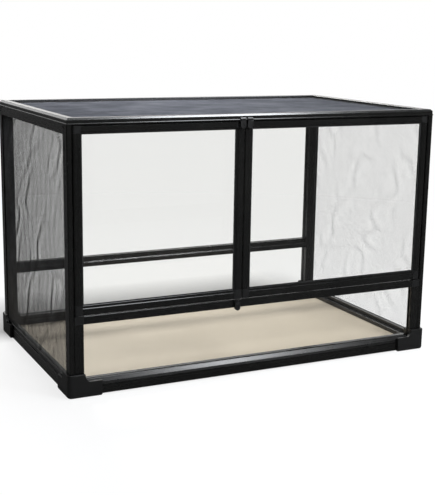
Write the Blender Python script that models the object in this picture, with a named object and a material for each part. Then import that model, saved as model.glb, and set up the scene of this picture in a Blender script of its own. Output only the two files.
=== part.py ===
# Front-opening glass terrarium: aluminium frame, glass doors and windows, mesh sides and a mesh top.
# Sizes below are in millimetres: x from the left face, y from the front face, z up from the ground.
# to_world() turns them into metres about the middle of the footprint, front facing -Y.
import math

import bmesh
import bpy
from mathutils import Vector

MM = 0.001

# Overall size over the posts, and the clearance between pieces that touch
WIDTH = 914
DEPTH = 546
HEIGHT = 597
GAP = 0.3

# Corner boots
BOOT_PROUD = 6
BOOT_LEG = 71
BOOT_SKIRT = 35
BOOT_SEAT = 50
BOOT_TOP = 52
BOOT_FLOOR = 2.7
BOOT_CORNER = 10
BOOT_FOOT_ROUND = 5
BOOT_TOP_ROUND = 1.6

# Posts and the corner that the boots and posts share
POST_WIDTH = 33
POST_DEPTH = 25
POST_STRIP = 12
REAR_FLANGE = 28
POST_TOP = 582.7
POST_HOLLOW = (9.8, 13.2, 17.8, 22.8)

# Base rails and floor
RAIL_DEPTH = 25
RAIL_BOTTOM = 3
RAIL_HOLLOW = (5, 5.5, 16.5, 25)
FRONT_RAIL_TOP = 37
REAR_RAIL_TOP = 43
SIDE_RAIL_TOP = 38
SIDE_RAIL_STEP = 29
FLOOR_BOTTOM = 12
FLOOR_TOP = 18

# Panels: glass in its channel, mesh and spline in theirs, each held by CHANNEL of its edge
GLASS_FRONT = 9
GLASS_THICK = 4
CHANNEL = 6
MESH_OUT = 4
MESH_THICK = 0.8
MESH_STRAND = 12
SPLINE_OUT = 5.1
SPLINE_THICK = 3

# Front window, sill and rear wall
SILL_BOTTOM = 161
SILL_TOP = 179
MID_BOTTOM = 157
MID_TOP = 183.5
UPPER_BOTTOM = 563

# Top frame and lift-out screen
TOP_BOTTOM = 583
TOP_WIDTH = 20
TOP_LEDGE = 25
LEDGE_TOP = 588.5
TOP_LIP = 585
TOP_SET_BACK = 1.2
TOP_CHAMFER = 4
STOP_FRONT = 11.5
STOP_BOTTOM = 575
SCREEN_RIM = 9

# Doors: the meeting line is left of the middle, so the right door is the wider one
DOOR_SIDE_GAP = 0.9
DOOR_FACE = 1
DOOR_THICK = 10
DOOR_BOTTOM = 180.5
DOOR_TOP = 581
LEFT_DOOR_END = 407.5
RIGHT_DOOR_END = 409
HINGE_STILE = 18.6
LEFT_MEETING_STILE = 19.5
RIGHT_MEETING_STILE = 17
DOOR_TOP_RAIL = 15.5
DOOR_BOTTOM_RAIL = 21.5
DOOR_CHAMFER = 1.4
RECESS = 3
BOTTOM_RECESS = 6
RECESS_DEPTH = 1.2
GASKET_LIP = 2.5
PIN_RADIUS = 2
PIN_HOLE = 2.3
PIVOT_X = POST_STRIP + DOOR_SIDE_GAP + DOOR_THICK / 2
PIVOT_Y = DOOR_FACE + DOOR_THICK / 2

# Slide bolts on the doors and the turn button on the sill
BOLT_TOP = 590
BOLT_HEIGHT = 24
BOLT_WIDTH = 13
BOLT_PROUD = 6
LEFT_BOLT_X = 400
LEFT_BOLT_ROD_X = 400
RIGHT_BOLT_X = 417.5
RIGHT_BOLT_ROD_X = 414.5
BUTTON_X = 395
BUTTON_PIVOT_Z = 172.5
BUTTON_LENGTH = 11
BUTTON_RADIUS = 6.5

SCREW_Y = 20
SCREW_Z = 578


def to_world(x, y, z):
    return Vector(((x - WIDTH / 2) * MM, (y - DEPTH / 2) * MM, z * MM))


def material(name, colour, roughness, metallic=0.0, alpha=1.0):
    made = bpy.data.materials.new(name)
    made.use_nodes = True
    shader = made.node_tree.nodes["Principled BSDF"]
    shader.inputs["Base Color"].default_value = (*colour, 1.0)
    shader.inputs["Roughness"].default_value = roughness
    shader.inputs["Metallic"].default_value = metallic
    shader.inputs["Alpha"].default_value = alpha
    return made


def arc(centre_u, centre_v, radius, first_deg, last_deg, steps):
    # points of an arc, both ends included
    angles = [math.radians(first_deg + (last_deg - first_deg) * i / steps) for i in range(steps + 1)]
    return [(centre_u + radius * math.cos(a), centre_v + radius * math.sin(a)) for a in angles]


def rectangle(low_u, low_v, high_u, high_v):
    return [(low_u, low_v), (high_u, low_v), (high_u, high_v), (low_u, high_v)]


def facing_out(bm):
    bmesh.ops.recalc_face_normals(bm, faces=bm.faces)
    if bm.calc_volume(signed=True) < 0:
        bmesh.ops.reverse_faces(bm, faces=bm.faces)
    return bm


def prism(outline, along, start, end, *hollows):
    # An outline run along one axis, with any hollows through it. A start or end may be a function
    # of (u, v), which makes a mitre.
    order = {"x": lambda s, u, v: (s, u, v), "y": lambda s, u, v: (u, s, v), "z": lambda s, u, v: (u, v, s)}
    bm = bmesh.new()
    cap_edges = [[], []]
    for loop in (outline, *hollows):
        rings = []
        for cap, station in enumerate((start, end)):
            spots = [(station(u, v) if callable(station) else station, u, v) for u, v in loop]
            ring = [bm.verts.new(to_world(*order[along](*spot))) for spot in spots]
            cap_edges[cap] += [bm.edges.new((ring[i - 1], ring[i])) for i in range(len(ring))]
            rings.append(ring)
        for i in range(len(loop)):
            bm.faces.new((rings[0][i - 1], rings[0][i], rings[1][i], rings[1][i - 1]))
    for edges in cap_edges:
        bmesh.ops.triangle_fill(bm, use_beauty=True, edges=edges)
    return facing_out(bm)


def box(low, high):
    return prism(rectangle(low[1], low[2], high[1], high[2]), "x", low[0], high[0])


def rod(centre_u, centre_v, radius, along, start, end, sides=16):
    circle = arc(centre_u, centre_v, radius, 0, 360 - 360 / sides, sides - 1)
    return prism(circle, along, start, end)


def mirrored(bm, flip_x=False, flip_y=False):
    twin = bm.copy()
    for vert in twin.verts:
        vert.co.x *= -1 if flip_x else 1
        vert.co.y *= -1 if flip_y else 1
    if flip_x != flip_y:
        bmesh.ops.reverse_faces(twin, faces=twin.faces)
    return twin


def helper_object(bm):
    mesh = bpy.data.meshes.new("helper")
    bm.to_mesh(mesh)
    made = bpy.data.objects.new("helper", mesh)
    bpy.context.scene.collection.objects.link(made)
    return made


def joined(base, tools, operation):
    # Boolean of a base with its tools: UNION or DIFFERENCE
    helpers = [helper_object(bm) for bm in [base] + tools]
    for tool in helpers[1:]:
        modifier = helpers[0].modifiers.new("join", "BOOLEAN")
        modifier.operation = operation
        modifier.object = tool
    bpy.context.view_layer.update()
    result = bmesh.new()
    result.from_object(helpers[0], bpy.context.evaluated_depsgraph_get())
    bmesh.ops.remove_doubles(result, verts=result.verts, dist=0.002 * MM)
    for helper in helpers:
        mesh = helper.data
        bpy.data.objects.remove(helper)
        bpy.data.meshes.remove(mesh)
    return result


def fused(base, *tools):
    return joined(base, list(tools), "UNION")


def carved(base, *tools):
    return joined(base, list(tools), "DIFFERENCE")


def axis_empty(name, x, y, z, parent=None):
    # an empty on a joint's axis, which carries the pieces that move with it
    empty = bpy.data.objects.new(name, None)
    empty.location = to_world(x, y, z)
    if parent:
        empty.parent = parent
        empty.location -= parent.location
    bpy.context.scene.collection.objects.link(empty)
    bpy.context.view_layer.update()
    return empty


def piece(name, bm, finish, carrier=None):
    if carrier:
        offset = carrier.matrix_world.translation
        bmesh.ops.translate(bm, vec=-offset, verts=bm.verts)
    mesh = bpy.data.meshes.new(name)
    bm.to_mesh(mesh)
    mesh.materials.append(finish)
    mesh.shade_smooth()
    mesh.set_sharp_from_angle(angle=math.radians(35))
    made = bpy.data.objects.new(name, mesh)
    made.parent = carrier
    bpy.context.scene.collection.objects.link(made)
    return made


def boot_step(along_front):
    # the room over a boot's skirt: a concave sweep from the full height down to the skirt
    sweep = [(45 - 12 * math.cos(a), BOOT_TOP - (BOOT_TOP - BOOT_SKIRT) * math.sin(a))
             for a in [math.radians(15 * i) for i in range(7)]]
    outline = [(POST_WIDTH, 60)] + sweep + [(80, BOOT_SKIRT), (80, 60)]
    return prism(outline, "y" if along_front else "x", -10, 0)


def corner_boot():
    # Moulded corner: two skirts, a solid corner that the post stands on, and a spigot up the post
    # and into each rail.
    low = -BOOT_PROUD
    outline = arc(low + BOOT_CORNER, low + BOOT_CORNER, BOOT_CORNER, 180, 270, 5)
    outline += [(BOOT_LEG, low), (BOOT_LEG, POST_DEPTH), (RAIL_DEPTH, POST_DEPTH)]
    outline += [(RAIL_DEPTH, BOOT_LEG), (low, BOOT_LEG)]
    blank = prism(outline, "z", 0, BOOT_TOP)
    inner = to_world(RAIL_DEPTH, POST_DEPTH, 0)
    rim = [edge for edge in blank.edges
           if len(edge.link_faces) == 2
           and abs(edge.link_faces[0].normal.z - edge.link_faces[1].normal.z) > 0.5
           and not all(abs(v.co.x - inner.x) < MM for v in edge.verts)
           and not all(abs(v.co.y - inner.y) < MM for v in edge.verts)]
    foot_rim = [edge for edge in rim if edge.verts[0].co.z < MM]
    top_rim = [edge for edge in rim if edge.verts[0].co.z > MM]
    for edges, radius, segments in ((top_rim, BOOT_TOP_ROUND, 2), (foot_rim, BOOT_FOOT_ROUND, 3)):
        bmesh.ops.bevel(blank, geom=edges, offset=radius * MM, segments=segments, profile=0.5, affect="EDGES")
    rooms = [
        box((POST_WIDTH, -GAP, BOOT_FLOOR), (80, 40, 60)),
        box((-GAP, POST_DEPTH, BOOT_FLOOR), (40, 80, 60)),
        box((-GAP, -GAP, BOOT_SEAT), (60, 60, 60)),
        boot_step(True),
        boot_step(False),
        box((22, 8.7, FRONT_RAIL_TOP - CHANNEL), (40, 13.3, 60)),
        box((3.7, 19, SIDE_RAIL_TOP - CHANNEL), (8.4, 40, 60)),
        box((-1, -1, -1), (12, 17, 42)),
        box((15, -1, -1), (29, 17, 26)),
    ]
    low_u, low_v, high_u, high_v = RAIL_HOLLOW
    spigots = [
        box((POST_WIDTH - 1, low_u + GAP, low_v + GAP), (POST_WIDTH + 25, high_u - GAP, high_v - GAP)),
        box((low_u + GAP, POST_DEPTH - 1, low_v + GAP), (high_u - GAP, POST_DEPTH + 25, high_v - GAP)),
        box((10.1, 13.5, BOOT_SEAT - 1), (17.5, 22.5, BOOT_SEAT + 30)),
    ]
    return fused(carved(blank, *rooms), *spigots)


def base_rail_outline(top, slot_low, slot_high, outer, inner):
    # Depth from the outer face, and height. The floor's slot is on the inner side and the panel's is
    # in the top; inner lists the inner face going up, and outer the outer face coming down.
    floor_slot = [(RAIL_DEPTH, 11.7), (19, 11.7), (19, 18.3), (RAIL_DEPTH, 18.3)]
    top_slot = [(slot_high, top), (slot_high, top - CHANNEL), (slot_low, top - CHANNEL), (slot_low, top)]
    return [(0, RAIL_BOTTOM), (RAIL_DEPTH, RAIL_BOTTOM)] + floor_slot + inner + top_slot + outer


def base_rails(black):
    # a grooved face under a leaning ledge in front, and a set-back ledge at the sides and rear
    leaning = [
        (8.1, FRONT_RAIL_TOP), (7.6, 36.5), (2.6, 28.2), (3.4, 28.2), (3.4, 27.6), (2.2, 27.6),
        (0.4, 23), (1.8, 23), (1.8, 21.7), (0, 21.7),
    ]
    grooved = [(1.2, 30), (2.4, 30), (2.4, 28), (0.6, 28), (0, 27.4)]
    stepped = [(RAIL_DEPTH, SIDE_RAIL_STEP - 1), (RAIL_DEPTH - 1, SIDE_RAIL_STEP), (15, SIDE_RAIL_STEP + 1)]
    front_outline = base_rail_outline(FRONT_RAIL_TOP, 8.7, 13.3, leaning, [(RAIL_DEPTH, FRONT_RAIL_TOP)])
    rear_face = [(2.6, REAR_RAIL_TOP), (1.2, REAR_RAIL_TOP - 1.5)] + grooved
    rear_outline = base_rail_outline(REAR_RAIL_TOP, 8.7, 13.3, rear_face, [(RAIL_DEPTH, REAR_RAIL_TOP)])
    side_face = [(2.6, SIDE_RAIL_TOP), (1.2, SIDE_RAIL_TOP - 1.5)] + grooved
    side_outline = base_rail_outline(SIDE_RAIL_TOP, 3.7, 8.4, side_face, stepped + [(15, SIDE_RAIL_TOP)])
    hollow = rectangle(*RAIL_HOLLOW)
    across = (POST_WIDTH + GAP, WIDTH - POST_WIDTH - GAP)
    deep = (POST_DEPTH + GAP, DEPTH - POST_DEPTH - GAP)
    piece("front_base_rail", prism(front_outline, "x", *across, hollow), black)
    piece("rear_base_rail", mirrored(prism(rear_outline, "x", *across, hollow), flip_y=True), black)
    left = prism(side_outline, "y", *deep, hollow)
    piece("right_base_rail", mirrored(left, flip_x=True), black)
    piece("left_base_rail", left, black)


def boots(plastic):
    boot = corner_boot()
    for flip_y, end in ((False, "front"), (True, "rear")):
        for flip_x, side in ((False, "left"), (True, "right")):
            piece(f"{end}_{side}_boot", mirrored(boot, flip_x, flip_y), plastic)


def floor_panel(board):
    # a board in the base rails' slots, with its corners cut round the boots
    edge = 19 + GAP
    notch_x, notch_y = POST_WIDTH + 2 * GAP, POST_DEPTH + 2 * GAP
    corner = [(notch_x, edge), (notch_x, notch_y), (edge, notch_y)]
    outline = []
    for flip_x, flip_y in ((False, False), (False, True), (True, True), (True, False)):
        points = [(WIDTH - u if flip_x else u, DEPTH - v if flip_y else v) for u, v in corner]
        outline += points if flip_x == flip_y else points[::-1]
    piece("floor_panel", prism(outline, "z", FLOOR_BOTTOM, FLOOR_TOP), board)


def side_face_outline():
    # the post's outer side, from its rear edge to its rounded corner, with two flutes and the slot
    # for the mesh and its spline
    slot = [(8.4, POST_DEPTH), (8.4, 19), (3.7, 19), (3.7, POST_DEPTH)]
    flutes = [(0, POST_DEPTH), (0, 17.5), (0.8, 16.5), (0, 15.5), (0, 10), (0.8, 9), (0, 8)]
    return slot + flutes + arc(3, 3, 3, 180, 270, 4)


def front_post():
    outline = side_face_outline() + [
        (POST_STRIP - 2, 0), (POST_STRIP, 2), (POST_STRIP, 11.4), (20, 11.4), (20, POST_DEPTH),
    ]
    return prism(outline, "z", BOOT_SEAT + GAP, POST_TOP, rectangle(*POST_HOLLOW))


def rear_post():
    outline = side_face_outline() + [
        (REAR_FLANGE, 0), (REAR_FLANGE, 8.7), (22, 8.7), (22, 13.3), (REAR_FLANGE, 13.3),
        (REAR_FLANGE, POST_DEPTH),
    ]
    return prism(outline, "z", BOOT_SEAT + GAP, POST_TOP, rectangle(*POST_HOLLOW))


def posts(black):
    screw_room = [rod(SCREW_Y, SCREW_Z, 2.8, "x", -1, 2.6), rod(SCREW_Y, SCREW_Z, 1.7, "x", 2, 11)]
    front = carved(front_post(), *screw_room)
    rear = mirrored(carved(rear_post(), *screw_room), flip_y=True)
    piece("front_left_post", front.copy(), black)
    piece("front_right_post", mirrored(front, flip_x=True), black)
    piece("rear_left_post", rear.copy(), black)
    piece("rear_right_post", mirrored(rear, flip_x=True), black)


def window_jambs(black):
    outline = [
        (12.3, 1.5), (31.5, 1.5), (33, 3), (33, 8.7), (27, 8.7), (27, 13.3), (33, 13.3), (33, 16),
        (20.3, 16), (20.3, 11.1), (12.3, 11.1),
    ]
    left = prism(outline, "z", BOOT_SEAT + GAP, SILL_BOTTOM - GAP)
    piece("right_window_jamb", mirrored(left, flip_x=True), black)
    piece("left_window_jamb", left, black)


def sill(black):
    # the rail under the doors, with the window's slot below, and the screw's hole for the turn button
    outline = [
        (1.5, SILL_BOTTOM), (1.5, SILL_TOP - 1), (2.5, SILL_TOP), (22, SILL_TOP), (22, SILL_BOTTOM),
        (13.3, SILL_BOTTOM), (13.3, SILL_BOTTOM + CHANNEL), (8.7, SILL_BOTTOM + CHANNEL),
        (8.7, SILL_BOTTOM),
    ]
    hollow = rectangle(4, 169, 19, 176.5)
    rail = prism(outline, "x", POST_WIDTH + GAP, WIDTH - POST_WIDTH - GAP, hollow)
    piece("sill_rail", carved(rail, rod(BUTTON_X, BUTTON_PIVOT_Z, 2.1, "y", 0, 12)), black)


def pivot_blocks(plastic):
    # moulded ends of the sill: each has a bored bearing collar for a door's lower pin, and plugs
    # into the sill's hollow
    outline = [(12.3, 0.3), (33, 0.3), (33, 22), (20.3, 22), (20.3, 11.1), (12.3, 11.1)]
    collar = rod(PIVOT_X, PIVOT_Y, 4.6, "z", SILL_TOP - 1, DOOR_BOTTOM - GAP, sides=24)
    plug = box((32, 4.3, 169.3), (50, 18.7, 176.2))
    body = fused(prism(outline, "z", SILL_BOTTOM, SILL_TOP), collar, plug)
    slot = box((27, 8.7, SILL_BOTTOM - 1), (34, 13.3, SILL_BOTTOM + CHANNEL))
    block = carved(body, slot, rod(PIVOT_X, PIVOT_Y, PIN_HOLE, "z", 168, SILL_TOP + 3))
    piece("right_pivot_block", mirrored(block, flip_x=True), plastic)
    piece("left_pivot_block", block, plastic)


def glass_pane(left, right, bottom, top):
    return box((left, GLASS_FRONT, bottom), (right, GLASS_FRONT + GLASS_THICK, top))


def windows(glass):
    hold = CHANNEL - GAP
    side = 27 + GAP
    piece("front_window_glass",
          glass_pane(side, WIDTH - side, FRONT_RAIL_TOP - hold, SILL_BOTTOM + hold), glass)
    side = 22 + GAP
    lower = glass_pane(side, WIDTH - side, REAR_RAIL_TOP - hold, MID_BOTTOM + hold)
    upper = glass_pane(side, WIDTH - side, MID_TOP - hold, UPPER_BOTTOM + hold)
    piece("rear_lower_glass", mirrored(lower, flip_y=True), glass)
    piece("rear_upper_glass", mirrored(upper, flip_y=True), glass)


def rear_rails(black):
    mid = [
        (1.5, MID_BOTTOM), (8.7, MID_BOTTOM), (8.7, MID_BOTTOM + CHANNEL), (13.3, MID_BOTTOM + CHANNEL),
        (13.3, MID_BOTTOM), (20, MID_BOTTOM), (20, 168), (18.8, 171), (18.8, MID_TOP), (13.3, MID_TOP),
        (13.3, MID_TOP - CHANNEL), (8.7, MID_TOP - CHANNEL), (8.7, MID_TOP), (1.5, MID_TOP),
    ]
    upper = [
        (1.5, UPPER_BOTTOM), (8.7, UPPER_BOTTOM), (8.7, UPPER_BOTTOM + CHANNEL),
        (13.3, UPPER_BOTTOM + CHANNEL), (13.3, UPPER_BOTTOM), (20, UPPER_BOTTOM), (20, POST_TOP),
        (1.5, POST_TOP),
    ]
    ends = (REAR_FLANGE + GAP, WIDTH - REAR_FLANGE - GAP)
    rail = prism(mid, "x", *ends, rectangle(4, 165, 14.5, 175.5))
    piece("rear_mid_rail", mirrored(rail, flip_y=True), black)
    rail = prism(upper, "x", *ends, rectangle(4, 571.5, 17.5, 580))
    piece("rear_upper_rail", mirrored(rail, flip_y=True), black)


def side_upper_rails(black):
    outline = [
        (0, UPPER_BOTTOM), (3.7, UPPER_BOTTOM), (3.7, UPPER_BOTTOM + CHANNEL),
        (8.4, UPPER_BOTTOM + CHANNEL), (8.4, UPPER_BOTTOM), (20, UPPER_BOTTOM), (20, POST_TOP),
        (1.5, POST_TOP), (1.5, 581.2), (0, 581.2),
    ]
    left = prism(outline, "y", POST_DEPTH + GAP, DEPTH - POST_DEPTH - GAP, rectangle(2.5, 571.5, 17.5, 580))
    piece("right_upper_rail", mirrored(left, flip_x=True), black)
    piece("left_upper_rail", left, black)


def grid_openings(low_u, low_v, high_u, high_v, across, up):
    # a mesh sheet's openings as a plain grid, with a strand between them and round the sheet
    pitch_u = (high_u - low_u - MESH_STRAND) / across
    pitch_v = (high_v - low_v - MESH_STRAND) / up
    return [
        rectangle(low_u + i * pitch_u + MESH_STRAND, low_v + j * pitch_v + MESH_STRAND,
                  low_u + (i + 1) * pitch_u, low_v + (j + 1) * pitch_v)
        for i in range(across) for j in range(up)]


def side_screens(mesh_finish, rubber):
    # the mesh lies in the frame's slot, and a square spline beside it holds its edge
    low_y, high_y = 19.5, DEPTH - 19.5
    low_z, high_z = SIDE_RAIL_TOP - CHANNEL + 0.5, UPPER_BOTTOM + CHANNEL - 0.5
    sheet = (low_y, low_z, high_y, high_z)
    screen = prism(rectangle(*sheet), "x", MESH_OUT, MESH_OUT + MESH_THICK, *grid_openings(*sheet, 8, 8))
    width = 4.6
    spline = prism(
        rectangle(low_y + 0.5, low_z + 0.5, high_y - 0.5, high_z - 0.5), "x", SPLINE_OUT,
        SPLINE_OUT + SPLINE_THICK,
        rectangle(low_y + width, low_z + width, high_y - width, high_z - width))
    piece("right_side_mesh", mirrored(screen, flip_x=True), mesh_finish)
    piece("left_side_mesh", screen, mesh_finish)
    piece("right_mesh_spline", mirrored(spline, flip_x=True), rubber)
    piece("left_mesh_spline", spline, rubber)


def top_rails(black):
    # Four mitred rails with a lip along the bottom of a set-back face, a chamfer over it, and a ledge
    # inside for the screen. The front one has a stop behind the doors.
    outline = [
        (0, TOP_BOTTOM), (0, TOP_LIP), (TOP_SET_BACK, TOP_LIP + TOP_SET_BACK),
        (TOP_SET_BACK, HEIGHT - TOP_CHAMFER), (TOP_SET_BACK + TOP_CHAMFER, HEIGHT),
        (TOP_WIDTH - 0.6, HEIGHT), (TOP_WIDTH, HEIGHT - 0.6), (TOP_WIDTH, LEDGE_TOP),
        (TOP_LEDGE, LEDGE_TOP), (TOP_LEDGE, TOP_BOTTOM),
    ]
    hollow = rectangle(4, 585.5, 18, 594.5)
    mitre_gap = 0.2
    front = prism(outline, "x", lambda u, v: u + mitre_gap, lambda u, v: WIDTH - u - mitre_gap, hollow)
    left = prism(outline, "y", lambda u, v: u + mitre_gap, lambda u, v: DEPTH - u - mitre_gap, hollow)
    key_room = box((9.8, 13, 582), (17.8, 22.8, 586))
    front = carved(front, key_room, mirrored(key_room, flip_x=True))
    pin_room = rod(PIVOT_X, PIVOT_Y, PIN_HOLE, "z", 582, 590.5)
    bolt_rooms = [box((x - 2.6, 3.4, 582), (x + 2.6, 8.8, 588))
                  for x in (LEFT_BOLT_ROD_X, RIGHT_BOLT_ROD_X)]
    piece("rear_top_rail", mirrored(front, flip_y=True), black)
    stop = box((POST_WIDTH - POST_STRIP, STOP_FRONT, STOP_BOTTOM),
               (WIDTH - POST_WIDTH + POST_STRIP, STOP_FRONT + 3.5, TOP_BOTTOM + 1))
    front = carved(fused(front, stop), pin_room, mirrored(pin_room, flip_x=True), *bolt_rooms)
    piece("front_top_rail", front, black)
    key = corner_key()
    left = carved(fused(left, key, mirrored(key, flip_y=True)), pin_room)
    piece("right_top_rail", mirrored(left, flip_x=True), black)
    piece("left_top_rail", left, black)


def corner_key():
    # three-way key crimped into the end of a side rail: it turns into the front or rear rail and
    # goes down the post, where a screw through the post holds it
    crimp = box((3.6, 18.2, 585), (18.4, 40, 592))
    corner = [(4.3, 4.3), (40, 4.3), (40, 17.7), (17.7, 17.7), (17.7, 30), (4.3, 30)]
    elbow = prism(corner, "z", 585.8, 594.2)
    leg = box((10.1, 13.5, 552), (17.5, 22.5, 587))
    return carved(fused(elbow, crimp, leg), rod(SCREW_Y, SCREW_Z, 1.7, "x", 9, 14))


def top_screen(black, mesh_finish, rubber, carrier):
    # a flat frame on the ledge; the mesh lies in its rebate under a flat spline
    outer = TOP_WIDTH + 0.5
    bottom = LEDGE_TOP + GAP
    rebate = outer + 4

    def ring(edge, low, high, opening):
        return prism(rectangle(edge, edge, WIDTH - edge, DEPTH - edge), "z", low, high,
                     rectangle(opening, opening, WIDTH - opening, DEPTH - opening))

    opening = outer + SCREEN_RIM
    room = box((rebate, rebate, bottom + 0.9), (WIDTH - rebate, DEPTH - rebate, bottom + 9))
    frame = carved(ring(outer, bottom, bottom + 3, opening), room)
    edge = rebate + GAP
    low = bottom + 1.2
    sheet = (edge, edge, WIDTH - edge, DEPTH - edge)
    mesh_sheet = prism(rectangle(*sheet), "z", low, low + MESH_THICK, *grid_openings(*sheet, 12, 7))
    low += MESH_THICK + GAP
    piece("top_screen_frame", frame, black, carrier)
    piece("top_mesh", mesh_sheet, mesh_finish, carrier)
    piece("top_mesh_spline", ring(edge, low, bottom + 3, edge + 4), rubber, carrier)


def door_edge(rounded):
    # a door's outer edge, from back to front: round on the hinge side, chamfered elsewhere
    half = DOOR_THICK / 2
    if rounded:
        return arc(half, half, half, 90, 270, 8)
    return [(0, DOOR_THICK), (0, DOOR_CHAMFER), (DOOR_CHAMFER, 0)]


def door_profile(width, rounded=False, recess=RECESS):
    # Across a door member: distance from its outer edge, and depth from the door's face. A recess
    # runs along the glass, which stands in a channel.
    return door_edge(rounded) + [
        (width - recess - RECESS_DEPTH, 0), (width - recess, RECESS_DEPTH), (width - 0.6, RECESS_DEPTH),
        (width, RECESS_DEPTH + 0.6), (width, 2.4), (width - CHANNEL, 2.4), (width - CHANNEL, 8.4),
        (width, 8.4), (width, DOOR_THICK),
    ]


def door_hollow(width):
    return rectangle(2.2, 2.4, width - CHANNEL - 1.4, 7.6)


def shifted(outline, origin_u, origin_v, sign_u=1, swap=False):
    # moves a door profile to its place; swap runs its width up the second axis instead
    if swap:
        return [(origin_u + d, origin_v + sign_u * w) for w, d in outline]
    return [(origin_u + sign_u * w, origin_v + d) for w, d in outline]


def door_members(left, right, meeting_width):
    # stiles and rails between the four corner blocks, left and right being the door's outer edges
    low, high = DOOR_BOTTOM + DOOR_BOTTOM_RAIL + GAP, DOOR_TOP - DOOR_TOP_RAIL - GAP

    def member(width, along, origin_u, origin_v, sign, start, end, rounded=False, recess=RECESS):
        swap = along == "x"
        outline = shifted(door_profile(width, rounded, recess), origin_u, origin_v, sign, swap)
        hollow = shifted(door_hollow(width), origin_u, origin_v, sign, swap)
        return prism(outline, along, start, end, hollow)

    near, far = left + HINGE_STILE + GAP, right - meeting_width - GAP
    return {
        "hinge_stile": member(HINGE_STILE, "z", left, DOOR_FACE, 1, low, high, rounded=True),
        "meeting_stile": member(meeting_width, "z", right, DOOR_FACE, -1, low, high),
        "top_rail": member(DOOR_TOP_RAIL, "x", DOOR_FACE, DOOR_TOP, -1, near, far),
        "bottom_rail": member(DOOR_BOTTOM_RAIL, "x", DOOR_FACE, DOOR_BOTTOM, 1, near, far,
                              recess=BOTTOM_RECESS),
    }


def corner_block(edge_x, sign_x, width, edge_z, sign_z, height, rounded, recess=RECESS):
    # a moulded corner with a spigot into the stile and one into the rail, a notch for the glass, and
    # the recess of both members carried round its inner corner
    def span(origin, sign, first, last):
        ends = sorted((origin + sign * first, origin + sign * last))
        return ends[0], ends[1]

    plan = shifted(door_edge(rounded) + [(width, 0), (width, DOOR_THICK)], edge_x, DOOR_FACE, sign_x)
    body = prism(plan, "z", *span(edge_z, sign_z, 0, height))

    def bar(x_first, x_last, z_first, z_last, y_low, y_high):
        low_x, high_x = span(edge_x, sign_x, x_first, x_last)
        low_z, high_z = span(edge_z, sign_z, z_first, z_last)
        return box((low_x, DOOR_FACE + y_low, low_z), (high_x, DOOR_FACE + y_high, high_z))

    into_stile = bar(2.5, width - CHANNEL - 1.7, height - 1, height + 22, 2.7, 7.3)
    into_rail = bar(width - 1, width + 22, 2.5, height - CHANNEL - 1.7, 2.7, 7.3)
    notch = bar(width - CHANNEL - 0.2, width + 1, height - CHANNEL - 0.2, height + 1, 2.4, 8.4)
    shallow = bar(width - RECESS - 0.2, width + 1, height - recess - 0.2, height + 1, -1, RECESS_DEPTH)
    return fused(carved(body, notch, shallow), into_stile, into_rail)


def door_corners(left, right, meeting_width, rod_x):
    # hinge-side blocks carry the pins; the upper meeting block guides the slide bolt
    hinge_top = corner_block(left, 1, HINGE_STILE, DOOR_TOP, -1, DOOR_TOP_RAIL, True)
    hinge_low = corner_block(left, 1, HINGE_STILE, DOOR_BOTTOM, 1, DOOR_BOTTOM_RAIL, True,
                             BOTTOM_RECESS)
    meet_top = corner_block(right, -1, meeting_width, DOOR_TOP, -1, DOOR_TOP_RAIL, False)
    meet_low = corner_block(right, -1, meeting_width, DOOR_BOTTOM, 1, DOOR_BOTTOM_RAIL, False,
                            BOTTOM_RECESS)
    upper_pin = rod(PIVOT_X, PIVOT_Y, PIN_RADIUS, "z", DOOR_TOP - 4, 590)
    lower_pin = rod(PIVOT_X, PIVOT_Y, PIN_RADIUS, "z", 168.5, DOOR_BOTTOM + 4)
    bore = box((rod_x - 2.3, 3.7, 566.7), (rod_x + 2.3, 8.3, DOOR_TOP + 1))
    slot = box((rod_x - 2.1, 0, 567.7), (rod_x + 2.1, 4.2, 578.3))
    return {
        "hinge_top_corner": fused(hinge_top, upper_pin),
        "hinge_bottom_corner": fused(hinge_low, lower_pin),
        "meeting_top_corner": carved(meet_top, bore, slot),
        "meeting_bottom_corner": meet_low,
    }


def door_gasket(left, right, meeting_width):
    # flat rubber strip round the front of the glass
    seat = CHANNEL - 0.8
    outer = rectangle(
        left + HINGE_STILE - seat, DOOR_BOTTOM + DOOR_BOTTOM_RAIL - seat,
        right - meeting_width + seat, DOOR_TOP - DOOR_TOP_RAIL + seat)
    inner = rectangle(
        left + HINGE_STILE + GASKET_LIP, DOOR_BOTTOM + DOOR_BOTTOM_RAIL + GASKET_LIP,
        right - meeting_width - GASKET_LIP, DOOR_TOP - DOOR_TOP_RAIL - GASKET_LIP)
    return prism(outer, "y", DOOR_FACE + 2.7, DOOR_FACE + 3.8, inner)


def door_glass(left, right, meeting_width):
    seat = CHANNEL - 0.6
    low = (left + HINGE_STILE - seat, DOOR_FACE + 4.1, DOOR_BOTTOM + DOOR_BOTTOM_RAIL - seat)
    high = (right - meeting_width + seat, DOOR_FACE + 8.1, DOOR_TOP - DOOR_TOP_RAIL + seat)
    return box(low, high)


def door(side, end, meeting_width, rod_x, black, plastic, glass, rubber, carrier):
    # Made with its hinge on the left; the right door is the mirror image.
    flip = side == "right"
    left = POST_STRIP + DOOR_SIDE_GAP
    right = WIDTH - end if flip else end
    rod_spot = WIDTH - rod_x if flip else rod_x
    solids = {name: (bm, black) for name, bm in door_members(left, right, meeting_width).items()}
    corners = door_corners(left, right, meeting_width, rod_spot)
    solids.update({name: (bm, plastic) for name, bm in corners.items()})
    solids["glass"] = (door_glass(left, right, meeting_width), glass)
    solids["gasket"] = (door_gasket(left, right, meeting_width), rubber)
    for name, (bm, finish) in solids.items():
        piece(f"{side}_door_{name}", mirrored(bm, flip_x=flip), finish, carrier)


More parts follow.
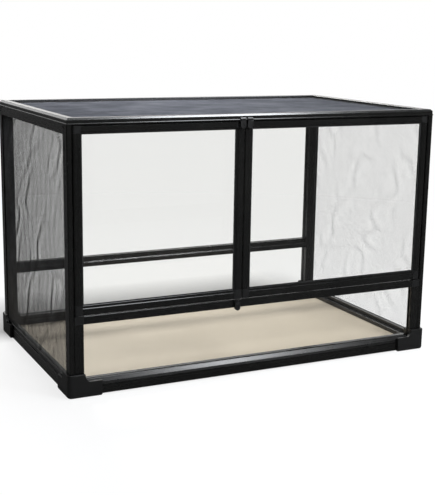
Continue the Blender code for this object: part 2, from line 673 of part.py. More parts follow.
def slide_bolt(name, centre_x, rod_x, plastic, carrier):
    # Thumb plate on the door's face, a stem through the corner block's slot and a square rod that
    # rises into the top rail. The plate's lower end is round, with a ridge under its bevelled top.
    back = -0.4
    front = -BOLT_PROUD
    low = BOLT_TOP - BOLT_HEIGHT
    radius = BOLT_WIDTH / 2
    face = arc(centre_x, low + radius, radius, 180, 360, 12)
    face += [(centre_x + radius, BOLT_TOP), (centre_x - radius, BOLT_TOP)]
    plate = prism(face, "y", front, back)
    wide = (centre_x - 9, centre_x + 9)
    top_corner = [(front - 1, BOLT_TOP - 3.4), (front - 1, BOLT_TOP + 1), (front + 3.4, BOLT_TOP + 1)]
    bevel = prism(top_corner, "x", *wide)
    groove = [(front - 1, 586.2), (front + 1.6, 585.3), (front + 1.6, 583.8), (front - 1, 582.6)]
    notch = prism(groove, "x", *wide)
    dimple = rod(centre_x, low + radius + 0.5, 4.2, "y", front - 1, front + 1.2, sides=24)
    stem = box((rod_x - 1.8, back - 1, 568), (rod_x + 1.8, 5, 572))
    bar = box((rod_x - 2, 4, 567), (rod_x + 2, 8, DOOR_TOP - 0.5))
    piece(name, fused(carved(plate, bevel, notch, dimple), stem, bar), plastic, carrier)


def turn_button(plastic, steel, carrier):
    # A round-ended button that hangs from its screw, and laps over the door when it is turned up.
    low_z = BUTTON_PIVOT_Z - BUTTON_LENGTH
    outline = arc(BUTTON_X, BUTTON_PIVOT_Z, BUTTON_RADIUS, 0, 180, 12)
    outline += arc(BUTTON_X, low_z, BUTTON_RADIUS, 180, 360, 12)
    plate = prism(outline, "y", -5.8, 0.4)
    boss = rod(BUTTON_X, BUTTON_PIVOT_Z, 4, "y", 0.2, 1.2, sides=24)
    head_room = rod(BUTTON_X, BUTTON_PIVOT_Z, 3.9, "y", -7, -3.7, sides=24)
    shank_room = rod(BUTTON_X, BUTTON_PIVOT_Z, 2.1, "y", -5, 2, sides=24)
    grip = rod(BUTTON_X, low_z, 3.6, "y", -7, -4.8, sides=24)
    piece("turn_button", carved(fused(plate, boss), head_room, shank_room, grip), plastic, carrier)
    screw = fused(
        rod(BUTTON_X, BUTTON_PIVOT_Z, 3.5, "y", -5.6, -4, sides=24),
        rod(BUTTON_X, BUTTON_PIVOT_Z, 1.8, "y", -4.5, 11, sides=24))
    slot = box((BUTTON_X - 2.6, -7, BUTTON_PIVOT_Z - 0.4), (BUTTON_X + 2.6, -5, BUTTON_PIVOT_Z + 0.4))
    piece("turn_button_screw", carved(screw, slot), steel)


def build():
    for existing in list(bpy.data.objects):
        bpy.data.objects.remove(existing)
    black = material("black_aluminium", (0.013, 0.013, 0.012), 0.38, 0.3)
    plastic = material("black_plastic", (0.016, 0.016, 0.016), 0.5)
    rubber = material("black_rubber", (0.01, 0.01, 0.01), 0.75)
    glass = material("clear_glass", (0.86, 0.92, 0.9), 0.02, alpha=0.12)
    mesh_finish = material("grey_mesh", (0.25, 0.25, 0.25), 0.6, 0.4, alpha=0.6)
    steel = material("dark_steel", (0.08, 0.08, 0.08), 0.35, 1.0)
    board = material("floor_board", (0.6, 0.55, 0.47), 0.7)

    boots(plastic)
    base_rails(black)
    floor_panel(board)
    posts(black)
    window_jambs(black)
    sill(black)
    pivot_blocks(plastic)
    windows(glass)
    rear_rails(black)
    side_upper_rails(black)
    side_screens(mesh_finish, rubber)
    top_rails(black)

    screen_axis = axis_empty("top_screen_axis", WIDTH / 2, DEPTH / 2, LEDGE_TOP)
    top_screen(black, mesh_finish, rubber, screen_axis)
    left_axis = axis_empty("left_door_axis", PIVOT_X, PIVOT_Y, DOOR_BOTTOM)
    right_axis = axis_empty("right_door_axis", WIDTH - PIVOT_X, PIVOT_Y, DOOR_BOTTOM)
    finishes = (black, plastic, glass, rubber)
    door("left", LEFT_DOOR_END, LEFT_MEETING_STILE, LEFT_BOLT_ROD_X, *finishes, left_axis)
    door("right", RIGHT_DOOR_END, RIGHT_MEETING_STILE, RIGHT_BOLT_ROD_X, *finishes, right_axis)
    left_bolt = axis_empty("left_bolt_axis", LEFT_BOLT_ROD_X, 6, 567, left_axis)
    right_bolt = axis_empty("right_bolt_axis", RIGHT_BOLT_ROD_X, 6, 567, right_axis)
    slide_bolt("left_slide_bolt", LEFT_BOLT_X, LEFT_BOLT_ROD_X, plastic, left_bolt)
    slide_bolt("right_slide_bolt", RIGHT_BOLT_X, RIGHT_BOLT_ROD_X, plastic, right_bolt)
    button_axis = axis_empty("turn_button_axis", BUTTON_X, 0, BUTTON_PIVOT_Z)
    turn_button(plastic, steel, button_axis)


build()
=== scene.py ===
import math

import bpy
import numpy as np
from mathutils import Matrix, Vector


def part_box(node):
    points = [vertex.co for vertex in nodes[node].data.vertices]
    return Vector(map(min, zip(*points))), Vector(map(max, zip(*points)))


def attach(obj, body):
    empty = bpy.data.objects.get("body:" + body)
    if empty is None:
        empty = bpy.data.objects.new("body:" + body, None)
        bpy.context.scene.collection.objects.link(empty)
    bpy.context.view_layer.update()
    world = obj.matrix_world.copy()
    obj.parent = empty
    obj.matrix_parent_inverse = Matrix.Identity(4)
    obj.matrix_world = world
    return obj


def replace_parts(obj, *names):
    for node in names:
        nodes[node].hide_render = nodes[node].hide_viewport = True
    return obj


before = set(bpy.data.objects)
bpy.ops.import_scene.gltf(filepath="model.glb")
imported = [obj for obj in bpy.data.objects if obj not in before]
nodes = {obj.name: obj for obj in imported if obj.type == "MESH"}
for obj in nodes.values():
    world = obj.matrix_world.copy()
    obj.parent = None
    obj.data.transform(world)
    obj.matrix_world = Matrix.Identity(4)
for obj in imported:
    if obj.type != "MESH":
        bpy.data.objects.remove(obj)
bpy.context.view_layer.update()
print("frame loaded:", len(nodes), "parts")


# Shader maths: a Signal is one socket, and an expression on signals adds its Math nodes
class Signal:
    def __init__(self, network, socket):
        self.network = network
        self.socket = socket

    def worked(self, operation, first, second):
        return self.network.node("ShaderNodeMath", {"operation": operation}, {0: first, 1: second})

    def __add__(self, other):
        return self.worked("ADD", self, other)

    def __sub__(self, other):
        return self.worked("SUBTRACT", self, other)

    def __rsub__(self, other):
        return self.worked("SUBTRACT", other, self)

    def __mul__(self, other):
        return self.worked("MULTIPLY", self, other)

    def __pow__(self, other):
        return self.worked("POWER", self, other)

    def __abs__(self):
        return self.network.node("ShaderNodeMath", {"operation": "ABSOLUTE"}, {0: self})

    __radd__ = __add__
    __rmul__ = __mul__

    def above(self, edge, gain):
        # gain * (value - edge)
        return (self - edge) * gain

    def swing(self, amount):
        # a noise about its middle, 0.5, as a swing of that amount
        return self.above(0.5, amount)

    def held(self):
        # kept between 0 and 1
        return self.network.node("ShaderNodeClamp", {}, {"Value": self})

    def beside(self, out):
        # another output of the same node
        return Signal(self.network, self.socket.node.outputs[out])


class Network:
    # the nodes of one material or world; place is the coordinates that its patterns read
    def __init__(self, tree, place="Object"):
        self.tree = tree
        self.place = self.node("ShaderNodeTexCoord", out=place)

    def node(self, kind, settings=None, sockets=None, out=0):
        made = self.tree.nodes.new(kind)
        for name, value in (settings or {}).items():
            setattr(made, name, value)
        for name, value in (sockets or {}).items():
            self.feed(made.inputs[name], value)
        return Signal(self, made.outputs[out])

    def feed(self, socket, value):
        if isinstance(value, Signal):
            self.tree.links.new(value.socket, socket)
        else:
            socket.default_value = value

    def coordinate(self, axis):
        return self.node("ShaderNodeSeparateXYZ", {}, {0: self.place}, out=axis)

    def rays(self):
        # 1 for the rays from the camera, for those off a gloss, and for those through glass
        camera = self.node("ShaderNodeLightPath", out="Is Camera Ray")
        return camera, camera.beside("Is Glossy Ray"), camera.beside("Is Transmission Ray")

    def noise(self, grain, stretch=None):
        # grain = (scale, detail, roughness)
        scale, detail, roughness = grain
        place = self.place
        if stretch:
            place = self.node("ShaderNodeVectorMath", {"operation": "MULTIPLY"}, {0: place, 1: stretch})
        sockets = {"Vector": place, "Scale": scale, "Detail": detail, "Roughness": roughness}
        return self.node("ShaderNodeTexNoise", {}, sockets, out="Fac")

    def blend(self, mask, first, second):
        # sockets 0, 6 and 7 of a colour mix are its factor and its two colours, and output 2 is its result
        sockets = {0: mask, 6: colourOf(first), 7: colourOf(second)}
        return self.node("ShaderNodeMix", {"data_type": "RGBA"}, sockets, out=2)

    def bump(self, height, strength, distance):
        sockets = {"Height": height, "Strength": strength, "Distance": distance}
        return self.node("ShaderNodeBump", {}, sockets, out="Normal")


def colourOf(value):
    return value if isinstance(value, Signal) else (*value, 1.0)


class Finish(Network):
    # one material; shader is its Principled node
    def __init__(self, name):
        self.material = bpy.data.materials.new(name)
        self.material.use_nodes = True
        super().__init__(self.material.node_tree)
        self.shader = self.tree.nodes["Principled BSDF"]

    def set(self, **values):
        for name, value in values.items():
            self.feed(self.shader.inputs[name.replace("_", " ")], value)


# In the looks below a noise is (scale, detail, roughness), a mask is (edge, gain) of gain * (noise - edge),
# a swing is how far a noise moves a value, and a relief is (strength, height in metres) of a bump
aluminiumLook = {
    "colour": (0.0045, 0.0045, 0.0042),
    "dustColour": (0.011, 0.011, 0.0095),
    "roughness": 0.27,
    "specular": 0.42,
    "peel": (900, 2, 0.55),         # orange peel
    "peelShare": 0.6,
    "lines": (40, 2, 0.5),          # draw lines
    "lineShare": 0.4,
    "lineStretch": (6.5, 0.12),     # across the bar and along it
    "lineSwing": 0.08,
    "relief": (0.35, 0.00003),
    "dust": (9, 5, 0.6),
    "dustShare": 0.7,
    "dustSwing": 0.10,
    "dustMask": (0.55, 1.6),
    "speck": (420, 2, 0.55),
    "speckShare": 0.5,
}
polishedEdge = {
    "low": 0.590,                   # the polished band of the top frame's edges, in height
    "high": 0.5968,
    "fadeIn": 400,                  # gains per metre of height
    "fadeOut": 2000,
    "fadeTop": 20000,
    "coat": 1.0,
    "coatRoughness": 0.22,
    "mattTop": 0.20,                # roughness that the flat above the band gains
}


def powderCoat(name, look, along, edge=None):
    # powder coat on an extrusion: fine orange peel, and faint draw lines along the bar
    finish = Finish(name)
    across, lengthwise = look["lineStretch"]
    stretch = [across] * 3
    stretch[along] = lengthwise
    peel = finish.noise(look["peel"])
    lines = finish.noise(look["lines"], tuple(stretch))
    dust = finish.noise(look["dust"])
    speck = finish.noise(look["speck"])
    dusty = (dust * look["dustShare"] + speck * look["speckShare"]).above(*look["dustMask"])
    surface = peel * look["peelShare"] + lines * look["lineShare"]
    roughness = look["roughness"] + dust.swing(look["dustSwing"]) + lines.swing(look["lineSwing"])
    finish.set(Base_Color=finish.blend(dusty, look["colour"], look["dustColour"]),
               Roughness=roughness,
               Specular_IOR_Level=look["specular"],
               Normal=finish.bump(surface, *look["relief"]))
    if edge:
        height = finish.coordinate("Z")
        band = height.above(edge["low"], edge["fadeIn"]).held()
        band = band * ((edge["high"] - height) * edge["fadeOut"]).held()
        flat = height.above(edge["high"], edge["fadeTop"]).held()
        finish.set(Coat_Weight=band * edge["coat"],
                   Coat_Roughness=edge["coatRoughness"],
                   Roughness=roughness + flat * edge["mattTop"])
    return finish.material


plasticLook = {
    "colour": (0.0095, 0.0095, 0.0095),
    "scuffColour": (0.026, 0.026, 0.025),
    "roughness": 0.42,
    "specular": 0.40,
    "spark": 1500,                  # cells of the spark grain in a metre
    "sparkSoftness": 0.6,
    "relief": (0.5, 0.00005),
    "wide": (60, 4, 0.55),
    "wideShare": 0.3,
    "wideSwing": 0.16,
    "scuff": (220, 6, 0.7),
    "scuffMask": (0.60, 4),
    "scuffRoughness": 0.04,
}


def mouldedPlastic(name, look):
    # moulded plastic: leathery spark grain and light scuffs
    finish = Finish(name)
    cells = {"Vector": finish.place, "Scale": look["spark"], "Smoothness": look["sparkSoftness"]}
    spark = finish.node("ShaderNodeTexVoronoi", {"feature": "SMOOTH_F1"}, cells, out="Distance")
    wide = finish.noise(look["wide"])
    scuff = finish.noise(look["scuff"]).above(*look["scuffMask"])
    roughness = look["roughness"] + wide.swing(look["wideSwing"]) + scuff * look["scuffRoughness"]
    finish.set(Base_Color=finish.blend(scuff, look["colour"], look["scuffColour"]),
               Roughness=roughness,
               Specular_IOR_Level=look["specular"],
               Normal=finish.bump(spark + wide * look["wideShare"], *look["relief"]))
    return finish.material


rubberLook = {
    "colour": (0.010, 0.010, 0.010),
    "bloomColour": (0.030, 0.030, 0.028),
    "roughness": 0.72,
    "bloom": (35, 5, 0.65),
    "bloomMask": (0.45, 1.8),
    "bloomSwing": 0.12,
    "fine": (1200, 2, 0.55),
    "relief": (0.4, 0.00003),
}


def rubberStrip(name, look):
    # extruded rubber with a pale bloom in patches
    finish = Finish(name)
    bloom = finish.noise(look["bloom"])
    patches = bloom.above(*look["bloomMask"])
    fine = finish.noise(look["fine"])
    finish.set(Base_Color=finish.blend(patches, look["colour"], look["bloomColour"]),
               Roughness=look["roughness"] + bloom.swing(look["bloomSwing"]),
               Normal=finish.bump(fine, *look["relief"]))
    return finish.material


glassLook = {
    "tint": (0.977, 0.978, 0.973),
    "straightOn": 0.030,            # share that is mirrored straight on
    "fresnelPower": 5,
    "roughness": 0.015,
    "wipe": (7, 4, 0.6),
    "wipeStretch": (1.0, 1.0, 0.35),
    "wipeMask": (0.45, 0.05),
}


def clearGlass(name, look):
    # Lets light straight through with a faint tint, and mirrors a share that grows like
    # straightOn + (1 - straightOn) * (1 - cosine of the angle) ^ 5, with thin wiping smears
    finish = Finish(name)
    wipe = finish.noise(look["wipe"], look["wipeStretch"])
    facing = finish.node("ShaderNodeLayerWeight", {}, {"Blend": 0.5}, out="Facing")
    mirrored = facing ** look["fresnelPower"] * (1 - look["straightOn"]) + look["straightOn"]
    finish.set(Base_Color=(1.0, 1.0, 1.0, 1.0),
               Metallic=1.0,
               Roughness=look["roughness"] + wipe.above(*look["wipeMask"]))
    clear = finish.node("ShaderNodeBsdfTransparent", {}, {"Color": (*look["tint"], 1.0)})
    mirror = Signal(finish, finish.shader.outputs[0])
    mixed = finish.node("ShaderNodeMixShader", {}, {0: mirrored, 1: clear, 2: mirror})
    finish.feed(finish.tree.nodes["Material Output"].inputs["Surface"], mixed)
    return finish.material


wireLook = {
    "rubbed": (14, 5, 0.6),
    "rubbedMask": (0.35, 1.6),
    "fine": (700, 2, 0.55),
    "fineSwing": 0.4,
    "roughnessSwing": 0.15,
}
# The top screen is the same dark grey coated wire as the sides. Its lighter, bluer colour and worn colour
# are a painted highlight for the light from above and in front.
topWireLookPaintedLit = {
    **wireLook,
    "colour": (0.19, 0.197, 0.222),
    "wornColour": (0.42, 0.427, 0.46),
    "roughness": 0.38,
    "metallic": 0.85,
}
sideWireLook = {
    **wireLook,
    "colour": (0.045, 0.046, 0.048),
    "wornColour": (0.11, 0.11, 0.112),
    "roughness": 0.45,
    "metallic": 0.6,
}


def wovenWire(name, look):
    # coated wire: a grey skin, rubbed lighter in drifting patches
    finish = Finish(name)
    fine = finish.noise(look["fine"])
    rubbed = finish.noise(look["rubbed"]).above(*look["rubbedMask"]) + fine.swing(look["fineSwing"])
    finish.set(Base_Color=finish.blend(rubbed, look["colour"], look["wornColour"]),
               Roughness=look["roughness"] + fine.swing(look["roughnessSwing"]),
               Metallic=look["metallic"])
    return finish.material


steelLook = {
    "colour": (0.055, 0.055, 0.058),
    "brightColour": (0.30, 0.30, 0.31),
    "roughness": 0.34,
    "metallic": 0.9,
    "wear": (900, 4, 0.7),
    "wearMask": (0.52, 5),
    "wearSwing": 0.05,
}


def blackenedSteel(name, look):
    # blackened steel with bright wear where the driver bears
    finish = Finish(name)
    wear = finish.noise(look["wear"]).above(*look["wearMask"])
    finish.set(Base_Color=finish.blend(wear, look["colour"], look["brightColour"]),
               Roughness=look["roughness"] + wear.swing(look["wearSwing"]),
               Metallic=look["metallic"])
    return finish.material


boardLook = {
    "pale": (0.62, 0.545, 0.432),
    "shade": (0.535, 0.466, 0.366),
    "fleckColour": (0.40, 0.33, 0.24),
    "roughness": 0.62,
    "cloud": (6, 5, 0.6),
    "cloudMask": (0.35, 1.4),
    "grain": (380, 4, 0.65),
    "grainSwing": 0.5,
    "roughnessSwing": 0.1,
    "relief": (0.3, 0.00012),
    "fleck": (240, 2, 0.5),
    "fleckStretch": (1.0, 0.5, 1.0),
    "fleckMask": (0.70, 9),
    "fleckStrength": 0.5,
}


def floorBoard(name, look):
    # plain board: slow cloudy mottling, fine grain and few darker flecks
    finish = Finish(name)
    cloud = finish.noise(look["cloud"])
    grain = finish.noise(look["grain"])
    fleck = finish.noise(look["fleck"], look["fleckStretch"]).above(*look["fleckMask"])
    mottling = cloud.above(*look["cloudMask"]) + grain.swing(look["grainSwing"])
    ground = finish.blend(mottling, look["shade"], look["pale"])
    marks = fleck.held() * look["fleckStrength"]
    finish.set(Base_Color=finish.blend(marks, ground, look["fleckColour"]),
               Roughness=look["roughness"] + grain.swing(look["roughnessSwing"]),
               Normal=finish.bump(grain, *look["relief"]))
    return finish.material


finishes = {
    "barX": powderCoat("powder_coat_across", aluminiumLook, 0),
    "barY": powderCoat("powder_coat_deep", aluminiumLook, 1),
    "barZ": powderCoat("powder_coat_upright", aluminiumLook, 2),
    "topX": powderCoat("powder_coat_top_across", aluminiumLook, 0, polishedEdge),
    "topY": powderCoat("powder_coat_top_deep", aluminiumLook, 1, polishedEdge),
    "plastic": mouldedPlastic("moulded_black", plasticLook),
    "rubber": rubberStrip("rubber_strip", rubberLook),
    "glass": clearGlass("clear_glass_pane", glassLook),
    "wire": wovenWire("top_screen_wire_painted_lit", topWireLookPaintedLit),
    "sideWire": wovenWire("side_screen_wire", sideWireLook),
    "steel": blackenedSteel("blackened_steel", steelLook),
    "board": floorBoard("floor_board_beige", boardLook),
}
finishWords = {
    "glass": ("glass",),
    "rubber": ("spline", "gasket"),
    "steel": ("screw",),
    "plastic": ("boot", "corner", "block", "bolt", "turn_button"),
    "board": ("floor_panel",),
    "wire": ("top_mesh",),
    "sideWire": ("side_mesh",),
}


def finishFor(name):
    # the first finish with a word of the part's name, or else the bar finish for the way that it runs
    for finish, words in finishWords.items():
        if any(word in name for word in words):
            return finish
    low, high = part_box(name)
    size = high - low
    longest = max(range(3), key=lambda axis: size[axis])
    kind = "top" if name.endswith("_top_rail") and "door" not in name else "bar"
    return kind + "XYZ"[longest]


for name, part in nodes.items():
    part.data.materials.clear()
    part.data.materials.append(finishes[finishFor(name)])
print("finishes on every part")

sharpAngle = 50     # degrees, above which an edge of a tube is kept sharp


# Meshes from arrays: rings holds (tubes, stations, sides, 3), and each tube is closed at both ends
def tubePiece(name, rings, finish, body="frame"):
    tubes, stations, sides, _ = rings.shape
    index = np.arange(tubes * stations * sides).reshape(tubes, stations, sides)
    around = np.roll(index, -1, axis=2)
    walls = np.stack([index[:, :-1], around[:, :-1], around[:, 1:], index[:, 1:]], axis=-1).reshape(-1, 4)
    caps = np.concatenate([index[:, 0, ::-1], index[:, -1]])
    corners = rings.reshape(-1, 3)
    # volume of the first tube, summed over its walls: where it is below 0, walls and caps are turned round
    first = walls[: (stations - 1) * sides]
    a, b, c, d = (corners[first[:, k]] - corners[0] for k in range(4))
    volume = (np.cross(a, b) * c).sum() + (np.cross(a, c) * d).sum()
    if volume < 0:
        walls, caps = walls[:, ::-1], caps[:, ::-1]
    made = bpy.data.meshes.new(name)
    made.from_pydata(corners.tolist(), [], walls.tolist() + caps.tolist())
    made.shade_smooth()
    made.set_sharp_from_angle(angle=math.radians(sharpAngle))
    made.materials.append(finishes[finish])
    piece = bpy.data.objects.new(name, made)
    bpy.context.scene.collection.objects.link(piece)
    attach(piece, body)
    return piece


# A screen's axes are the one that its veins are spaced along, the one that they run along, and its normal.
# firstSide is the side of the normal that the first layer of wires lies on.
wovenScreens = {
    "left_screen": {
        "node": "left_side_mesh", "body": "frame", "axes": (1, 2, 0), "firstSide": -1,
        "seed": 5, "wire": 0.00036, "crowding": 0.42, "vein": 0.0170, "ripple": 0.0004,
        "waveAcross": (0.12, 0.28),
    },
    "right_screen": {
        "node": "right_side_mesh", "body": "frame", "axes": (1, 2, 0), "firstSide": -1,
        "seed": 23, "wire": 0.00017, "crowding": 0.55, "vein": 0.0200, "ripple": 0.0002,
        "waveAcross": (0.10, 0.26),
    },
    "top_woven_screen": {
        "node": "top_mesh", "body": "top_screen", "axes": (1, 0, 2), "firstSide": 1,
        "seed": 16, "wire": 0.00028, "crowding": 0.55, "vein": 0.0065, "ripple": 0.0004,
        "waveAcross": (0.065, 0.17),
    },
}
weave = {
    "pitch": 0.0016,
    "sides": 3,
    "stations": 56,
    "layerGap": 1.7,                # between the two layers' middles, in wire radii
    "margin": 0.03,                 # strip at the edge over which the wires come back to straight
}
crumple = {
    "waves": 7,
    "waveAlong": (0.12, 0.35),      # shortest and longest wave along the veins
    "phase": (0, 6),                # every sine starts at a phase drawn from here
    "bend": 0.4,
    "bendAlong": 0.017,             # lengths of the slow sines, over one radian
    "bendAcross": 0.05,
    "leastSlope": 8.0,              # keeps the gap finite where the field is flat
    "shown": 0.55,                  # how strongly a vein shows, which rises and falls along it
    "shownSwing": 0.8,
    "shownAlong": 0.045,
    "shownAcross": 0.03,
    "shownRange": (0.1, 1),
    "rippleAcross": 0.0055,
    "rippleBend": 1.5,
    "rippleAlong": 0.03,
}


def drift(across, along, look, layer):
    # Sideways drift of a layer's wires at (across, along) on the sheet, where the veins run mostly along.
    # Veins lie where a sum of waves is 0, at a distance of gap = sum / steepness, and there the wires close
    # up by crowding * gap * exp(-(gap / vein) ^ 2); the ripple is a fine sine.
    chance = np.random.default_rng(look["seed"])
    field = np.zeros(across.shape)
    for _ in range(crumple["waves"]):
        wide, tall = chance.uniform(*look["waveAcross"]), chance.uniform(*crumple["waveAlong"])
        lean = chance.choice((-1, 1)) / tall
        slow = along / crumple["bendAlong"] + across / crumple["bendAcross"]
        bend = crumple["bend"] * np.sin(slow + chance.uniform(*crumple["phase"]))
        turns = 2 * math.pi * (across / wide + along * lean)
        field = field + np.sin(turns + bend + chance.uniform(*crumple["phase"]))
    slopes = np.gradient(field, across[:, 0], along[0])
    steep = np.hypot(*slopes) + crumple["leastSlope"]
    gap = field / steep
    slow = along / crumple["shownAlong"] + across / crumple["shownAcross"]
    swing = crumple["shownSwing"] * np.sin(slow + chance.uniform(*crumple["phase"]))
    shown = np.clip(crumple["shown"] + swing, *crumple["shownRange"])
    closing = look["crowding"] * shown * gap * np.exp(-(gap / look["vein"]) ** 2)
    bend = crumple["rippleBend"] * np.sin(along / crumple["rippleAlong"])
    phase = chance.uniform(*crumple["phase"])
    ripple = look["ripple"] * np.sin(across / crumple["rippleAcross"] + bend + phase)
    return ripple - closing * slopes[layer] / steep


def wovenScreen(name, look):
    # two layers of wires that cross: a wire is a thin tube whose centre line is (place + drift, run)
    low, high = (np.array(corner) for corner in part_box(look["node"]))
    spaced, running, normal = look["axes"]
    middle = (low[normal] + high[normal]) / 2
    radius = look["wire"] / 2
    angles = np.arange(weave["sides"]) * 2 * math.pi / weave["sides"]
    layers = []
    for layer, (cross, run) in enumerate(((spaced, running), (running, spaced))):
        width = high[cross] - low[cross] - 2 * radius
        count = int(width / weave["pitch"])
        places = low[cross] + radius + (np.arange(count) + 0.5) * width / count
        runs = np.linspace(low[run], high[run], weave["stations"])
        across, along = np.meshgrid(places, runs, indexing="ij")
        if layer == 0:
            wander = drift(across, along, look, 0)
        else:
            wander = drift(along.T, across.T, look, 1).T
        edge = np.minimum(across - low[cross], high[cross] - across) / weave["margin"]
        across = across + wander * np.clip(edge, 0, 1)
        side = look["firstSide"] * (0.5 - layer)
        rings = np.zeros((*across.shape, weave["sides"], 3))
        rings[..., cross] = across[..., None] + radius * np.cos(angles)
        rings[..., run] = along[..., None]
        rings[..., normal] = middle + side * weave["layerGap"] * radius + radius * np.sin(angles)
        layers.append(rings)
    finish = finishFor(look["node"])
    tubePiece(name + "_weft", layers[1], finish, look["body"])
    return tubePiece(name, layers[0], finish, look["body"])


for name, look in wovenScreens.items():
    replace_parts(wovenScreen(name, look), look["node"])
print("screens woven")


postScrews = {
    "sides": 48,
    "inset": 0.020,                 # from the post's front or rear face
    "height": 0.578,
    "sunk": 0.0005,                 # head below the face
    "head": 0.0025,                 # radii, depths and lengths in metres
    "headDepth": 0.0017,
    "shank": 0.0014,
    "length": 0.0125,
    "tip": 0.0001,
    "tipShare": 0.6,                # of the shank's radius, where the tip begins
    "tipLengths": (0.001, 0.0003),
    "crossArm": 0.00042,
    "crossReach": 0.0016,
    "crossSlopes": (0.00014, 0.00030),
    "crossDepth": 0.0009,
    "crossRings": 9,
    # the head's outline from its middle outwards, as shares of its radius and of its depth
    "outline": ((0.02, 0.0), (0.2, 0.0), (0.38, 0.01), (0.5, 0.02), (0.62, 0.04), (0.74, 0.08),
                (0.86, 0.16), (0.95, 0.28), (1.0, 0.45), (1.0, 0.9), (0.96, 1.0)),
}


def postScrew(name, side, end, look):
    # Turned outline (radius, depth), with a cross pressed into the head:
    # depth + recess where the smaller of |u| and |v| lies within an arm and the larger within its reach
    shank, length = look["shank"], look["length"]
    firstTip, lastTip = look["tipLengths"]
    stem = [(shank, look["headDepth"]), (shank, length - firstTip),
            (shank * look["tipShare"], length - lastTip), (look["tip"], length)]
    outline = np.concatenate([np.array(look["outline"]) * (look["head"], look["headDepth"]), stem])
    radius, depth = outline[:, 0], outline[:, 1]
    angle = np.arange(look["sides"]) * 2 * math.pi / look["sides"]
    u, v = radius[:, None] * np.cos(angle), radius[:, None] * np.sin(angle)
    armSlope, reachSlope = look["crossSlopes"]
    arm = np.clip((look["crossArm"] - np.minimum(abs(u), abs(v))) / armSlope, 0, 1)
    reach = np.clip((look["crossReach"] - np.maximum(abs(u), abs(v))) / reachSlope, 0, 1)
    onHead = (np.arange(len(radius)) < look["crossRings"])[:, None]
    recess = arm * reach * look["crossDepth"] * onHead
    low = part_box("front_left_post")[0]
    x = -low[0] if side > 0 else low[0]
    rings = np.zeros((1, len(radius), look["sides"], 3))
    rings[0, :, :, 0] = x - side * (look["sunk"] + depth[:, None] + recess)
    rings[0, :, :, 1] = end * (-low[1] - look["inset"]) + u
    rings[0, :, :, 2] = look["height"] + v
    return tubePiece(name, rings, "steel")


for side, sideName in ((-1, "left"), (1, "right")):
    for end, endName in ((-1, "front"), (1, "rear")):
        postScrew(f"{endName}_{sideName}_post_screw", side, end, postScrews)
print("post screws set")


# Stage: a pale floor that keeps the lamps' shadow, with a painted shadow close behind the object, and a
# white backdrop that fills the view behind the object.
# A share is how far a direction leans towards the backdrop: it grows from 0 in the open room to 1 straight
# behind the object, between the two leans of its pair.
stageLook = {
    "floor": (0.78, 0.78, 0.77),
    "seen": (0.18, 0.18, 0.18),     # the floor's own colour where the camera sees it, beside its lift
    "mirrored": (0.05, 0.05, 0.05),
    "lift": 0.80,                   # white that the floor adds for the camera near the object
    "liftFar": 1.0,                 # and far from it
    "reach": 2.4,                   # distance at which the floor is far
    # shade to shadeHalfWidth: a painted shadow, less lift on the floor close behind the object, which no
    # lamp casts
    "shade": 1.17,                  # how much less lift there is close behind the object
    "shadeFrom": 0.27,
    "shadeDepth": 0.365,
    "shadeStart": 10,               # gains per metre at the start and at the sides of that shade
    "shadeSides": 5,
    "shadeHalfWidth": 0.57,
    "ambient": 0.10,
    "behind": (0.44, 0.898, 0.0),
    "share": (0.62, 0.93),
    "room": 0.045,                  # what gloss shows of the open room
    "above": 0.35,                  # and how much more of the backdrop above the horizon
    "aboveGain": 5,
    "floorShare": (0.80, 0.98),
    "floorRoom": 0.09,
    "floorRoughness": 0.9,
    "halfSize": 60.0,
    "below": 0.0005,                # the floor lies this far under the feet
}


def backdropShare(network, direction, look, part):
    edge, full = look[part]
    sockets = {0: direction, 1: look["behind"]}
    leaning = network.node("ShaderNodeVectorMath", {"operation": "DOT_PRODUCT"}, sockets, out="Value")
    return leaning.above(edge, 1 / (full - edge)).held()


def floorLiftAndPaintedShadow(finish, far, look):
    # lift + (liftFar - lift) * far, and times 1 - shade * (1 - (y - shadeFrom) / shadeDepth) close behind
    # the object, inside the shade's half width; that factor is a painted shadow, not one that a lamp casts
    x = finish.coordinate("X")
    depth = x.beside("Y") - look["shadeFrom"]
    # mask of the painted shadow: behind the object in depth, inside its half width across
    behind = (1 - depth * (1 / look["shadeDepth"])).held() * (depth * look["shadeStart"] + 1).held()
    inside = ((look["shadeHalfWidth"] - abs(x)) * look["shadeSides"]).held()
    lift = far * (look["liftFar"] - look["lift"]) + look["lift"]
    return lift * (1 - behind * inside * look["shade"]).held()


def paleFloor(look):
    finish = Finish("studio_floor")
    camera, glossy, through = finish.rays()
    distance = finish.node("ShaderNodeVectorMath", {"operation": "LENGTH"}, {0: finish.place}, out="Value")
    far = (distance * (1 / look["reach"])).held()
    far = far * far * (3 - far * 2)
    seen = finish.blend(far, look["seen"], (0.0, 0.0, 0.0))
    shown = finish.blend(camera + glossy + through, look["floor"], seen)
    finish.set(Base_Color=finish.blend(glossy, shown, look["mirrored"]),
               Roughness=look["floorRoughness"],
               Specular_IOR_Level=0.0,
               Emission_Strength=1.0)
    nearby = finish.node("ShaderNodeVectorMath", {"operation": "NORMALIZE"}, {0: finish.place})
    share = backdropShare(finish, nearby, look, "floorShare")
    gloss = glossy * (share * (1 - look["floorRoom"]) + look["floorRoom"])
    finish.set(Emission_Color=(camera + through + gloss) * floorLiftAndPaintedShadow(finish, far, look))
    made = bpy.data.meshes.new("studio_floor")
    half = look["halfSize"]
    corners = [(-half, -half, 0), (half, -half, 0), (half, half, 0), (-half, half, 0)]
    made.from_pydata(corners, [], [(0, 1, 2, 3)])
    made.materials.append(finish.material)
    floor = bpy.data.objects.new("studio_floor", made)
    floor.location.z = -look["below"]
    bpy.context.scene.collection.objects.link(floor)


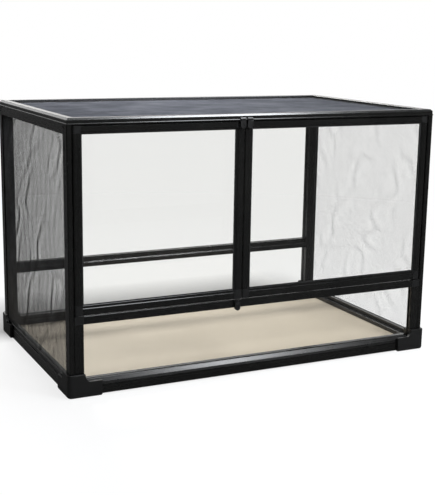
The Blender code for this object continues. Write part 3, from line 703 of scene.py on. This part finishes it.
def surround(look):
    # white for the camera and through glass; for gloss it fades from white behind to room in front
    world = bpy.data.worlds.new("studio")
    world.use_nodes = True
    bpy.context.scene.world = world
    network = Network(world.node_tree, "Generated")
    camera, glossy, through = network.rays()
    seen = camera + through
    height = (network.coordinate("Z") * look["aboveGain"]).held()
    share = backdropShare(network, network.place, look, "share")
    reflected = share * (1 - look["room"] + height * look["above"]) + look["room"]
    strength = seen + glossy * reflected + (1 - (seen + glossy).held()) * look["ambient"]
    network.feed(world.node_tree.nodes["Background"].inputs["Color"], strength)


paleFloor(stageLook)
surround(stageLook)

lamps = {
    "keyBox": {
        "place": (-0.10, 2.40, 2.30), "aim": (0.0, 0.0, 0.1), "size": (0.6, 0.6),
        "power": 68, "colour": (1.0, 0.985, 0.96),
    },
    "frontBox": {
        "place": (0.86, -1.74, 1.33), "aim": (0.0, -0.2, 0.1), "size": (0.42, 0.55),
        "power": 20, "colour": (0.95, 0.97, 1.0),
    },
    "overheadBox": {
        "place": (0.50, -0.46, 1.95), "aim": (0.12, -0.2, 0.3), "size": (2.3, 0.45),
        "power": 47.5, "colour": (0.93, 0.96, 1.0),
    },
}


def towards(place, aim):
    # right, up and back of something at place that faces aim
    back = np.subtract(place, aim) / np.linalg.norm(np.subtract(place, aim))
    right = np.cross((0, 0, 1), back)
    right = right / np.linalg.norm(right)
    return right, np.cross(back, right), back


def placed(thing, place, axes):
    turned = Matrix([list(axis) for axis in axes]).transposed()
    thing.matrix_world = Matrix.Translation(place) @ turned.to_4x4()


for name, look in lamps.items():
    lamp = bpy.data.lights.new(name, "AREA")
    lamp.shape = "RECTANGLE"
    lamp.size, lamp.size_y = look["size"]
    lamp.energy = look["power"]
    lamp.color = look["colour"]
    holder = bpy.data.objects.new(name, lamp)
    bpy.context.scene.collection.objects.link(holder)
    placed(holder, look["place"], towards(look["place"], look["aim"]))
print("stage and lamps set")


cameraLook = {
    "place": (-1.086, -2.269, 0.779),
    "yaw": 25.99,                   # degrees
    "pitch": 12.08,
    "roll": 0.908,
    "lens": 74.50,
    "sensor": 36.0,
    "clip": (0.05, 200),
}


def photoCamera(look):
    yaw, pitch, roll = (math.radians(look[key]) for key in ("yaw", "pitch", "roll"))
    ahead = np.array([math.sin(yaw) * math.cos(pitch), math.cos(yaw) * math.cos(pitch), -math.sin(pitch)])
    level = np.array([math.cos(yaw), -math.sin(yaw), 0.0])
    upright = np.cross(level, ahead)
    right = math.cos(roll) * level + math.sin(roll) * upright
    up = -math.sin(roll) * level + math.cos(roll) * upright
    data = bpy.data.cameras.new("photoCamera")
    data.lens = look["lens"]
    data.sensor_width = look["sensor"]
    data.clip_start, data.clip_end = look["clip"]
    camera = bpy.data.objects.new("photoCamera", data)
    bpy.context.scene.collection.objects.link(camera)
    placed(camera, look["place"], (right, up, -ahead))
    bpy.context.scene.camera = camera


photoCamera(cameraLook)
bpy.context.scene.view_settings.view_transform = "Standard"
print("camera set")
